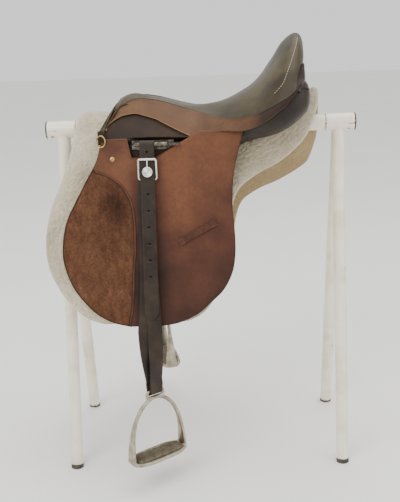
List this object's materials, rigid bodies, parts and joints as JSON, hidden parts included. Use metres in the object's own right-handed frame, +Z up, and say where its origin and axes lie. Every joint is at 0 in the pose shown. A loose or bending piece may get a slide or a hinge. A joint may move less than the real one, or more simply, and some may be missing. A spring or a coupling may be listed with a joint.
{
  "type": "english riding saddle on trestle stand",
  "caption": "Jumping saddle with fleece numnah, stirrup leathers and irons, lying over the round beam of a white tubular trestle stand.",
  "frame": {"origin": "on the floor, under the middle of the stand's beam", "axes": "+Z up, +X along the beam towards the cantle, -Y towards the near (left) side of the saddle"},
  "size_m": [0.635, 0.5404, 0.8797],
  "materials": {
    "white_enamel": "glossy white enamel on steel tube",
    "cap_plastic": "moulded black",
    "foot_rubber": "moulded",
    "fleece": "woolly pile",
    "tree_wood": "laminated, sealed",
    "seat_leather": "smooth, waxed",
    "skirt_leather": "smooth tan",
    "lining_leather": "plain lining hide",
    "panel_leather": "soft, stuffed",
    "flap_leather": "smooth red-brown",
    "knee_suede": "napped suede",
    "strap_leather": "oiled strap hide",
    "steel_nickel": "satin nickel",
    "brass": "aged",
    "tread_rubber": "ribbed"
  },
  "bodies": {
    "stand": {"stand_beam": "white_enamel", "stand_sleeve_left": "white_enamel", "stand_sleeve_right": "white_enamel", "stand_cap_left": "cap_plastic", "stand_cap_right": "cap_plastic", "stand_leg_left_near": "white_enamel", "stand_leg_left_far": "white_enamel", "stand_leg_right_near": "white_enamel", "stand_leg_right_far": "white_enamel", "stand_foot_left_near": "foot_rubber", "stand_foot_left_far": "foot_rubber", "stand_foot_right_near": "foot_rubber", "stand_foot_right_far": "foot_rubber"},
    "numnah": {"numnah_pad": "fleece", "numnah_loop_near": "fleece", "numnah_loop_far": "fleece"},
    "saddle": {"saddle_tree": "tree_wood", "saddle_seat": "seat_leather", "skirt_near": "skirt_leather", "skirt_far": "skirt_leather", "underskirt_near": "lining_leather", "underskirt_far": "lining_leather", "panel_near": "panel_leather", "panel_far": "panel_leather", "sweat_flap_near": "lining_leather", "sweat_flap_far": "lining_leather", "stirrup_bar_near": "steel_nickel", "stirrup_bar_far": "steel_nickel"},
    "flap_near": {"flap_near": "flap_leather", "knee_patch_near": "knee_suede", "keeper_near": "strap_leather", "flap_stud_near": "brass"},
    "turn_near": {"leather_turn_near": "strap_leather"},
    "leather_near": {"stirrup_leather_near": "strap_leather", "leather_tail_near": "strap_leather", "buckle_frame_near": "steel_nickel"},
    "iron_near": {"iron_near": "steel_nickel", "iron_tread_near": "tread_rubber"},
    "tongue_near": {"buckle_tongue_near": "steel_nickel", "buckle_boss_near": "steel_nickel"},
    "dee_near": {"dee_near": "brass"},
    "catch_near": {"bar_catch_near": "steel_nickel"},
    "girth_strap_front_near": {"girth_strap_front_near": "strap_leather"},
    "girth_strap_rear_near": {"girth_strap_rear_near": "strap_leather"},
    "flap_far": {"flap_far": "flap_leather", "knee_patch_far": "knee_suede", "keeper_far": "strap_leather", "flap_stud_far": "brass"},
    "turn_far": {"leather_turn_far": "strap_leather"},
    "leather_far": {"stirrup_leather_far": "strap_leather", "leather_tail_far": "strap_leather", "buckle_frame_far": "steel_nickel"},
    "iron_far": {"iron_far": "steel_nickel", "iron_tread_far": "tread_rubber"},
    "tongue_far": {"buckle_tongue_far": "steel_nickel", "buckle_boss_far": "steel_nickel"},
    "dee_far": {"dee_far": "brass"},
    "catch_far": {"bar_catch_far": "steel_nickel"},
    "girth_strap_front_far": {"girth_strap_front_far": "strap_leather"},
    "girth_strap_rear_far": {"girth_strap_rear_far": "strap_leather"}
  },
  "joints": [
    {"name": "numnah_lift", "type": "slide", "parent": "stand", "child": "numnah", "axis": [0, 0, 1], "range_m": [0, 0.35]},
    {"name": "saddle_lift", "type": "slide", "parent": "numnah", "child": "saddle", "axis": [0, 0, 1], "range_m": [0, 0.045]},
    {"name": "flap_lift_near", "type": "hinge", "parent": "saddle", "child": "flap_near", "pos_m": [0, -0.1135, 0.683], "axis": [-1, 0, 0], "range_deg": [0, 80]},
    {"name": "leather_swing_out_near", "type": "hinge", "parent": "flap_near", "child": "turn_near", "pos_m": [-0.103, -0.1135, 0.683], "axis": [-1, 0, 0], "range_deg": [0, 45]},
    {"name": "leather_swing_fore_aft_near", "type": "hinge", "parent": "turn_near", "child": "leather_near", "pos_m": [-0.103, -0.1135, 0.683], "axis": [0, -0.9777, 0.2101], "range_deg": [-30, 30]},
    {"name": "iron_swing_near", "type": "hinge", "parent": "leather_near", "child": "iron_near", "pos_m": [-0.103, -0.21535, 0.20984], "axis": [0.788, 0.6157, 0], "range_deg": [-60, 60]},
    {"name": "tongue_lift_near", "type": "hinge", "parent": "leather_near", "child": "tongue_near", "pos_m": [-0.103, -0.12968, 0.61795], "axis": [1, 0, 0], "range_deg": [0, 60]},
    {"name": "dee_swing_near", "type": "hinge", "parent": "saddle", "child": "dee_near", "pos_m": [-0.1925, -0.1075, 0.7005], "axis": [-1, 0, 0], "range_deg": [0, 90]},
    {"name": "catch_turn_near", "type": "hinge", "parent": "saddle", "child": "catch_near", "pos_m": [-0.0555, -0.1135, 0.683], "axis": [0, -1, 0], "range_deg": [0, 90]},
    {"name": "girth_strap_front_swing_near", "type": "hinge", "parent": "saddle", "child": "girth_strap_front_near", "pos_m": [-0.06, -0.10245, 0.66017], "axis": [0, -0.9777, 0.2101], "range_deg": [-2.5, 2.5]},
    {"name": "girth_strap_rear_swing_near", "type": "hinge", "parent": "saddle", "child": "girth_strap_rear_near", "pos_m": [-0.012, -0.10245, 0.66017], "axis": [0, -0.9777, 0.2101], "range_deg": [-2.5, 2.5]},
    {"name": "flap_lift_far", "type": "hinge", "parent": "saddle", "child": "flap_far", "pos_m": [0, 0.1135, 0.683], "axis": [1, 0, 0], "range_deg": [0, 80]},
    {"name": "leather_swing_out_far", "type": "hinge", "parent": "flap_far", "child": "turn_far", "pos_m": [-0.103, 0.1135, 0.683], "axis": [1, 0, 0], "range_deg": [0, 45]},
    {"name": "leather_swing_fore_aft_far", "type": "hinge", "parent": "turn_far", "child": "leather_far", "pos_m": [-0.103, 0.1135, 0.683], "axis": [0, 0.9777, 0.2101], "range_deg": [-30, 30]},
    {"name": "iron_swing_far", "type": "hinge", "parent": "leather_far", "child": "iron_far", "pos_m": [-0.103, 0.20947, 0.23721], "axis": [0.2079, -0.9781, 0], "range_deg": [-60, 60]},
    {"name": "tongue_lift_far", "type": "hinge", "parent": "leather_far", "child": "tongue_far", "pos_m": [-0.103, 0.12968, 0.61795], "axis": [-1, 0, 0], "range_deg": [0, 60]},
    {"name": "dee_swing_far", "type": "hinge", "parent": "saddle", "child": "dee_far", "pos_m": [-0.1925, 0.1075, 0.7005], "axis": [1, 0, 0], "range_deg": [0, 90]},
    {"name": "catch_turn_far", "type": "hinge", "parent": "saddle", "child": "catch_far", "pos_m": [-0.0555, 0.1135, 0.683], "axis": [0, -1, 0], "range_deg": [0, 90]},
    {"name": "girth_strap_front_swing_far", "type": "hinge", "parent": "saddle", "child": "girth_strap_front_far", "pos_m": [-0.06, 0.10245, 0.66017], "axis": [0, 0.9777, 0.2101], "range_deg": [-2.5, 2.5]},
    {"name": "girth_strap_rear_swing_far", "type": "hinge", "parent": "saddle", "child": "girth_strap_rear_far", "pos_m": [-0.012, 0.10245, 0.66017], "axis": [0, 0.9777, 0.2101], "range_deg": [-2.5, 2.5]}
  ]
}
